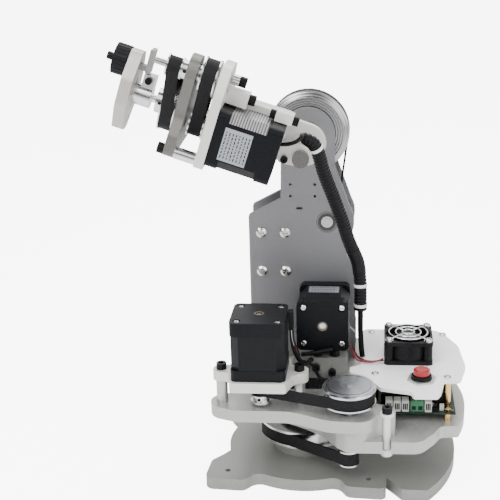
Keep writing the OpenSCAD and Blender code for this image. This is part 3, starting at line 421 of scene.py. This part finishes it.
def add_belts():
    deck = lambda x, y, h: (x, y, h)
    tower = lambda x, z, h: (x, h, z)
    wrist = lambda x, y, h: (h, y, -x)
    # node, axis and radius of each pulley, start and width along the axes, plane, frame, body
    add_belt("yaw_belt_first", YAW_MOTOR, MOTOR_PULLEY_R, YAW_WHEEL, WHEEL_R,
             78.5, 9, deck, ROW, "turntable")
    add_belt("yaw_belt_second", (0, 0), BASE_PULLEY_R, YAW_WHEEL, SMALL_PULLEY_R,
             25, 10, deck, ROW, "turntable")
    add_belt("pitch_belt_first", PITCH_MOTOR, MOTOR_PULLEY_R, PITCH_LAYSHAFT, WHEEL_R,
             64.7, 6, tower, ROW, "turntable")
    add_belt("pitch_belt_second", (PITCH_AXIS.x, PITCH_AXIS.z), PITCH_WHEEL_R, PITCH_LAYSHAFT, SMALL_PULLEY_R,
             52.5, 9.5, tower, ROW, "turntable")
    add_belt("roll_belt_first", ROLL_MOTOR, MOTOR_PULLEY_R, ROLL_LAYSHAFT, ROLL_LAY_PULLEY_R,
             75, 9, wrist, ARM, "forearm")
    add_belt("roll_belt_second", ROLL_SHAFT, WHEEL_R, ROLL_LAYSHAFT, MOTOR_PULLEY_R,
             101, 9, wrist, ARM, "forearm")


# ---------------------------------------------------------------- hose and wires

HOSE_ROUTE = [
    (-0.5, -24.5, 275.2), (2.5, -24, 275.4), (7.4, -22.6, 273), (11.2, -20, 267.6), (13.2, -17, 260),
    (15.4, -13.5, 250), (18.6, -9, 239), (22.5, -4, 227), (26.5, -1, 215), (30.5, 3, 202), (34, 7, 189),
    (38, 11, 177), (42, 14, 166), (44, 15, 152), (44.5, 15, 138), (44.5, 15, 124),
]


def add_hose():
    path = smooth_path(HOSE_ROUTE, 0.7)
    rib = (5.45, 5.2, 4.45, 5.2)
    ribs = add_tube("hose_ribbed", path, lambda i: rib[i % 4] if i > 3 else 5.0, HOSE, "turntable", 18)
    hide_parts("cable_hose")
    sleeve = [p for p in path if 157 < p.z < 178]
    add_tube("hose_sleeve", sleeve, 5.5, HOSE, "turntable", 20)
    tail = [(44.5, 15, 125), (44.6, 15.2, 104), (45.5, 14.2, 90), (46.5, 13, 82.5)]
    add_tube("hose_tail", smooth_path(tail, 3), 2.3, BLACK_WIRE, "turntable", 10)
    for k, z in enumerate((268.5, 146, 128)):
        i = min(range(12, len(path) - 2), key=lambda j: abs(path[j].z - z))
        ahead = (path[i + 1] - path[i - 1]).normalized()
        tie = [(5.2, -1.3), (5.5, -1.3), (5.5, 1.3), (5.2, 1.3)]
        add_lathe(f"zip_tie_{k + 1}", tie, path[i], ahead, WHITE_NYLON, "turntable")


def add_wires():
    wires = [
        ("motor_cable_a", [(-12.3, -31, 138), (-9.5, -30.5, 128), (-8.6, -30, 114), (-6, -28, 102),
                           (0, -24, 92), (6, -16, 92.5)], 1.9, BLACK_WIRE),
        ("motor_cable_b", [(-3, -12, 94.5), (6, -12, 96), (16, -11.5, 98), (22, -9.5, 99)], 1.8, BLACK_WIRE),
        ("motor_cable_c", [(-3, -14, 90), (6, -13, 86), (9, -12.8, 80), (14, -13.5, 74),
                           (30, -16, 71.3), (42, -12, 71.3)], 1.3, BLACK_WIRE),
        ("fan_wire_red", [(38, 4, 92), (42, 2, 84.6), (50, 0, 83.4), (58, -1.5, 85), (63.5, 0, 87)],
         0.6, RED_WIRE),
        ("fan_wire_red_b", [(36, 6, 96), (41, 5, 87), (46, 3.4, 83.4), (56, 1.6, 83.6), (63.8, 3, 85)],
         0.6, RED_WIRE),
        ("fan_wire_black", [(37, 8, 95), (43, 7, 85), (52, 3.8, 82.6), (64, 4, 83.6)], 0.7, BLACK_WIRE),
    ]
    for name, route, radius, finish in wires:
        add_tube(name, smooth_path(route, 1.5), radius, finish, "turntable", 10)
    # plug on the near motor's rear edge
    add_box("motor_plug", (-11.2, -36, 126), (-7.4, -29, 141), PLASTIC, "turntable")
    for k in range(4):
        route = [(-9.6 + 0.4 * k, -35 + 1.6 * k, 126.5), (-9 + 0.5 * k, -33 + k, 116), (-6 + k, -29 + k, 100)]
        finish = (BLACK_WIRE, NUT, RED_WIRE, BLACK_WIRE)[k]
        add_tube(f"plug_wire_{k + 1}", smooth_path(route, 2), 0.55, finish, "turntable", 8)


# ---------------------------------------------------------------- labels and small parts

def add_label(name, low, size, face_frame, body, rows):
    """A plain silver label with rows of short dark bars in place of print."""
    width, height = size
    add_box(name, (low[0], low[1], 0), (low[0] + width, low[1] + height, 0.12), STICKER, body, face_frame)
    for r in range(rows):
        y = low[1] + height * (r + 0.7) / (rows + 0.4)
        x = low[0] + width * 0.08
        k = 0
        while x < low[0] + width * 0.86:
            bar = 1.1 + 1.3 * ((r * 5 + k * 3) % 4) / 3
            end = min(x + bar, low[0] + width * 0.93)
            add_box(f"{name}_bar_{r}_{k}", (x, y - 0.42, 0.1), (end, y + 0.42, 0.16), PRINT, body, face_frame)
            x = end + 0.8
            k += 1


def face_at(origin, right, up):
    """A frame on a flat face: x to the right, y up, z out of the face."""
    x, y = Vector(right).normalized(), Vector(up).normalized()
    z = x.cross(y)
    return Matrix.Translation(origin) @ Matrix((x, y, z)).transposed().to_4x4()


def add_motor_details():
    # roll motor: a black near side between its caps, with the label on it
    add_box("roll_motor_side", (28.0, 67.3, -14.2), (55.9, 67.6, 14.2), MOTOR, "forearm", ARM)
    out, up = ARM.to_3x3() @ Vector((1, 0, 0)), ARM.to_3x3() @ Vector((0, 0, 1))
    near = face_at(ARM @ Vector((36.8, 67.6, -13.2)), up, out)
    add_label("roll_motor_label", (0, 0), (24.4, 20.4), near, "forearm", 8)
    top = face_at((-3.5, 18.5, 138.55), (1, 0, 0), (0, 1, 0))
    add_label("pitch_motor_label", (5.2, -3.4), (25, 13.6), top, "turntable", 3)
    # the roll motor's short cable, bent down to the hose's top end
    route = ((17.4, 44, 6), (12, 44, 8), (7, 43.5, 11.5), (4.6, 40, 14.8), (4.3, 34, 15.2), (4.3, 28, 11.5))
    cable = [ARM @ Vector(p) for p in route]
    add_tube("roll_motor_cable", smooth_path(cable, 2), 1.5, BLACK_WIRE, "forearm", 12)
    # shaft ends seen in the rear caps
    for name, centre, axis in (
        ("pitch_motor_rear", (PITCH_MOTOR[0], -7.5, PITCH_MOTOR[1]), (0, -1, 0)),
        ("yaw_motor_rear", (*YAW_MOTOR, 145), (0, 0, 1)),
    ):
        add_ring(name + "_boss", 2.6, 3.7, 0.25, centre, axis, BRASS_RING, "turntable")
        add_ring(name + "_rim", 3.7, 4.3, 0.12, centre, axis, SHIELD, "turntable")


def add_bearing_faces():
    for name, spot, inner, outer, body in (
        ("lay_bearing", (PITCH_LAYSHAFT[0], TOWER_FACE_Y, PITCH_LAYSHAFT[1]), 3.2, 9.5, "turntable"),
        ("pitch_bearing", (PITCH_AXIS.x, TOWER_FACE_Y, PITCH_AXIS.z), 3.7, 11, "turntable"),
    ):
        mid = (inner + outer) / 2
        add_ring(name + "_inner", inner, mid - 1.6, 0.15, spot, (0, -1, 0), SHAFT, body)
        add_ring(name + "_shield", mid - 1.5, outer - 1.9, 0.08, spot, (0, -1, 0), SHIELD, body)
        add_ring(name + "_outer", outer - 1.8, outer - 0.1, 0.15, spot, (0, -1, 0), DARK_STEEL, body)


def rounded_reach(half, corner, angle):
    """Distance from a rounded square's centre to its edge."""
    c, s = abs(math.cos(angle)), abs(math.sin(angle))
    flat = half / max(c, s)
    if min(c, s) * flat <= half - corner:
        return flat
    k = half - corner
    b = k * (c + s)
    return b + math.sqrt(max(0, b * b - 2 * k * k + corner * corner))


def add_fan():
    x, y = FAN
    low = COVER_TOP_Z
    up = (0, 0, 1)
    half, corner = 19.95, 3.0
    steps = 96

    def slab(name, z0, z1, inner):
        points, faces = [], []
        for i in range(steps):
            a = 2 * math.pi * i / steps
            reach = rounded_reach(half, corner, a)
            for r in (reach, inner):
                for z in (z0, z1):
                    points.append((x + r * math.cos(a), y + r * math.sin(a), z))
        for i in range(steps):
            a, b = 4 * i, 4 * ((i + 1) % steps)
            faces += [(a, b, b + 1, a + 1), (a + 2, a + 3, b + 3, b + 2),
                      (a + 1, b + 1, b + 3, a + 3), (a, a + 2, b + 2, b)]
        add_mesh(name, points, faces, PLASTIC, "turntable")

    slab("fan_flange_low", low, low + 3.4, 18.6)
    slab("fan_flange_top", low + 16.6, low + 20, 18.6)
    add_ring("fan_duct", 18.6, 19.7, 13.4, (x, y, low + 3.3), up, PLASTIC, "turntable", steps=64)
    for i, (dx, dy) in enumerate(((-16, -16), (16, -16), (16, 16), (-16, 16))):
        foot = (x + dx, y + dy, low + 3.3)
        add_ring(f"fan_post_{i + 1}", 1.7, 3.6, 13.4, foot, up, PLASTIC, "turntable", steps=24)
    for i in range(4):
        turn = Matrix.Translation((x, y, low)) @ Matrix.Rotation(math.radians(45 + 90 * i), 4, "Z")
        strut = add_box(f"fan_strut_{i + 1}", (8.5, -1, 0.5), (18.7, 1, 2.5), PLASTIC, "turntable", turn)
    seat = [(0.2, 0.3), (10, 0.3), (10, 3), (0.2, 3)]
    add_lathe("fan_motor_seat", seat, (x, y, low), up, PLASTIC, "turntable")
    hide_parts("fan_frame")
    for i in range(7):
        blade_points, blade_faces = [], []
        for k in range(9):
            r = 9.6 + (18.1 - 9.6) * k / 8
            sweep = math.radians(360 / 7 * i + 3.2 * k)
            for turn, z in ((-0.30, 17.2), (0.30, 6.5)):
                a = sweep + turn * 9.6 / r * 1.25
                for thick in (0, 0.8):
                    blade_points.append((x + r * math.cos(a), y + r * math.sin(a), low + z - thick))
        for k in range(8):
            a, b = 4 * k, 4 * (k + 1)
            blade_faces += [(a, b, b + 2, a + 2), (a + 1, a + 3, b + 3, b + 1),
                            (a, a + 1, b + 1, b), (a + 2, b + 2, b + 3, a + 3)]
        blade_faces += [(0, 2, 3, 1), (32, 33, 35, 34)]
        add_mesh(f"fan_blade_{i + 1}", blade_points, blade_faces, PLASTIC, "fan", smooth=False)
    add_ring("fan_hub_label", 0.3, 7.6, 0.1, (x, y, low + 18), up, STICKER, "fan")
    for i in range(4):
        turn = Matrix.Translation((x, y, low + 20)) @ Matrix.Rotation(math.radians(45 + 90 * i), 4, "Z")
        wire = [Vector((3.5, 0, 1.4)), Vector((12, 0, 1.45)), Vector((18, 0, 1.2)), Vector((20.6, 0, 0.75))]
        add_tube(f"guard_wire_{i + 1}", wire, 0.7, BRIGHT, "turntable", 8, turn)
        eye = [(1.6, 0), (3.4, 0), (3.4, 0.85), (1.6, 0.85)]
        add_lathe(f"guard_eye_{i + 1}", eye, (22.63, 0, 0.02), up, BRIGHT, "turntable", turn, 24)


def add_board_parts():
    for i, x in enumerate((65.5, 72, 78.5, 96.5)):
        for k in range(3):
            slot = x + 0.9 + 1.4 * k
            low, high = (slot, -38.15, 60.2), (x + 1.9 + 1.4 * k, -37.9, 65.5)
            add_box(f"socket_slot_{i}_{k}", low, high, PRINT, "turntable")
        add_box(f"socket_lip_{i}", (x + 0.4, -38.6, 58.6), (x + 5.2, -38, 60), SOCKET, "turntable")
    for k in range(2):
        x = 87.9 + 5.2 * k
        add_box(f"terminal_mouth_{k}", (x - 1.6, -38.15, 60), (x + 1.6, -37.9, 63.4), PRINT, "turntable")
        centre = (x, -34.5, 67.5)
        add_ring(f"terminal_screw_{k}", 0.3, 1.9, 0.3, centre, (0, 0, 1), SCREW, "turntable", steps=20)
    parts = [(104, -36, 3, 2), (108.5, -35.5, 3.4, 5), (104.5, -31, 2.4, 3), (110, -30, 4.5, 3),
             (99, -29, 5, 2), (117, -37, 2.4, 1.4), (113.2, -37.6, 2, 1.2), (60.5, -37.5, 2.6, 4)]
    for k, (x, y, w, h) in enumerate(parts):
        finish = (PLASTIC, SOCKET, BRASS_RING)[k % 3]
        add_box(f"board_part_{k}", (x, y, 58.55), (x + w, y + w * 0.8, 58.6 + h), finish, "turntable")


def add_turned_details():
    # grooves on the deck wheel's top
    top = (*YAW_WHEEL, WHEEL_TOP_Z)
    for k, r in enumerate((16.8, 12.4, 7.5)):
        add_ring(f"wheel_groove_{k}", r, r + 0.35, 0.06, top, (0, 0, 1), SHAFT, "yaw_counter", steps=64)
    # set screws in the hubs
    for name, centre, axis, r, body, of in (
        ("set_screw_deck", (-33.4, -55.5, 74.6), (-0.15, -1, 0), 1.3, "yaw_motor_rotor", ROW),
        ("set_screw_lay", (97.4, 57.0, 37.5), (0, 1, 0), 1.3, "roll_lay", ARM),
        ("set_screw_lay_rear", (86.2, 57.0, 37.5), (0, 1, 0), 1.0, "roll_lay", ARM),
        ("set_screw_roll", (114.0, 16.4, 0), (0, 1, 0), 1.3, "tool", ARM),
    ):
        add_ring(name, 0.1, r, 0.12, centre, axis, BLACK, body, of, 16)
    # the two ends of the clamp's screw
    near = [(0.2, 0), (2.7, 0), (2.7, 2.6), (0.2, 2.6)]
    far = [(0.2, 0), (1.4, 0), (1.4, 2), (0.2, 2)]
    add_lathe("clamp_screw", near, (126.5, 13, 13), (0, 1, 0), BLACK, "tool", ARM, 24)
    add_lathe("clamp_screw_far", far, (126.5, 1, 13), (0, -1, 0), BLACK, "tool", ARM, 24)


# ---------------------------------------------------------------- camera and lights

def add_camera():
    data = bpy.data.cameras.new("camera")
    data.sensor_width = 36
    data.lens = 36 * 1049 / 500
    data.shift_x = -0.10
    cam = bpy.data.objects.new("camera", data)
    SCENE.collection.objects.link(cam)
    yaw, pitch, roll = math.radians(-4.2), math.radians(18.56), math.radians(-0.73)
    ahead = Vector((math.sin(yaw) * math.cos(pitch), math.cos(yaw) * math.cos(pitch), -math.sin(pitch)))
    right = Vector((math.cos(yaw), -math.sin(yaw), 0))
    up = right.cross(ahead)
    right_r = right * math.cos(roll) + up * math.sin(roll)
    up_r = up * math.cos(roll) - right * math.sin(roll)
    turn = Matrix((right_r, up_r, -ahead)).transposed()
    cam.matrix_world = Matrix.Translation((0.0543, -0.7915, 0.4467)) @ turn.to_4x4()
    SCENE.camera = cam


def add_light(name, spot, size, power, target=(0, 0, 0.13)):
    data = bpy.data.lights.new(name, "AREA")
    data.shape = "SQUARE"
    data.size = size
    data.energy = power
    lamp = bpy.data.objects.new(name, data)
    lamp.location = spot
    aim = Vector(target) - Vector(spot)
    lamp.rotation_euler = aim.to_track_quat("-Z", "Y").to_euler()
    SCENE.collection.objects.link(lamp)
    return lamp


def add_world():
    """A room of soft dark and bright patches, which the camera sees as plain white."""
    world = bpy.data.worlds.new("studio")
    world.use_nodes = True
    tree = world.node_tree
    lit = tree.nodes["Background"]
    lit.inputs["Color"].default_value = (1, 1, 1, 1)
    # dark and bright patches for the turned metal to reflect
    way = tree.nodes.new("ShaderNodeTexCoord")
    patches = tree.nodes.new("ShaderNodeTexNoise")
    patches.inputs["Scale"].default_value = 1.5
    patches.inputs["Detail"].default_value = 0
    link(tree, way.outputs["Generated"], patches.inputs["Vector"])
    level = tree.nodes.new("ShaderNodeMapRange")
    level.inputs["From Min"].default_value = 0.4
    level.inputs["From Max"].default_value = 0.6
    level.inputs["To Min"].default_value = 0.1
    level.inputs["To Max"].default_value = 1.7
    link(tree, patches.outputs["Fac"], level.inputs["Value"])
    link(tree, level.outputs["Result"], lit.inputs["Strength"])
    seen = tree.nodes.new("ShaderNodeBackground")
    seen.inputs["Color"].default_value = (1, 1, 1, 1)
    seen.inputs["Strength"].default_value = 8.0
    path = tree.nodes.new("ShaderNodeLightPath")
    mix = tree.nodes.new("ShaderNodeMixShader")
    link(tree, path.outputs["Is Camera Ray"], mix.inputs["Fac"])
    link(tree, lit.outputs["Background"], mix.inputs[1])
    link(tree, seen.outputs["Background"], mix.inputs[2])
    link(tree, mix.outputs["Shader"], tree.nodes["World Output"].inputs["Surface"])
    SCENE.world = world


def add_floor():
    """A white studio floor, which the camera sees much brighter than it lights."""
    tree = FLOOR.node_tree
    shade = tree.nodes["Principled BSDF"]
    shade.inputs["Emission Color"].default_value = (1, 1, 1, 1)
    path = tree.nodes.new("ShaderNodeLightPath")
    lift = tree.nodes.new("ShaderNodeMapRange")
    lift.inputs["To Min"].default_value = 0.2
    lift.inputs["To Max"].default_value = 6.5
    link(tree, path.outputs["Is Camera Ray"], lift.inputs["Value"])
    link(tree, lift.outputs["Result"], shade.inputs["Emission Strength"])
    points = [(-60000, -60000, 0), (60000, -60000, 0), (60000, 60000, 0), (-60000, 60000, 0)]
    floor = add_mesh("floor", points, [(0, 1, 2, 3)], FLOOR, None)


finish_nodes()
for plate in (
    "base_plate", "lower_plate", "middle_plate", "upper_plate", "yaw_motor_plate", "tower_near_plate",
    "tower_far_plate", "wrist_rear_plate", "wrist_front_plate", "electronics_cover", "tool_plate",
    "forearm_bracket", "tower_foot", "roll_motor_caps", "yaw_motor_caps", "pitch_motor_caps",
):
    soften(plate, 0.4)
add_belts()
add_hose()
add_wires()
add_motor_details()
add_bearing_faces()
add_fan()
add_board_parts()
add_turned_details()
add_floor()
add_camera()
add_world()
add_light("key", (-0.5, -0.7, 1.1), 0.9, 19)
add_light("fill", (0.8, -0.6, 0.7), 0.9, 6)
add_light("top", (0.1, 0.5, 1.3), 1.0, 14)
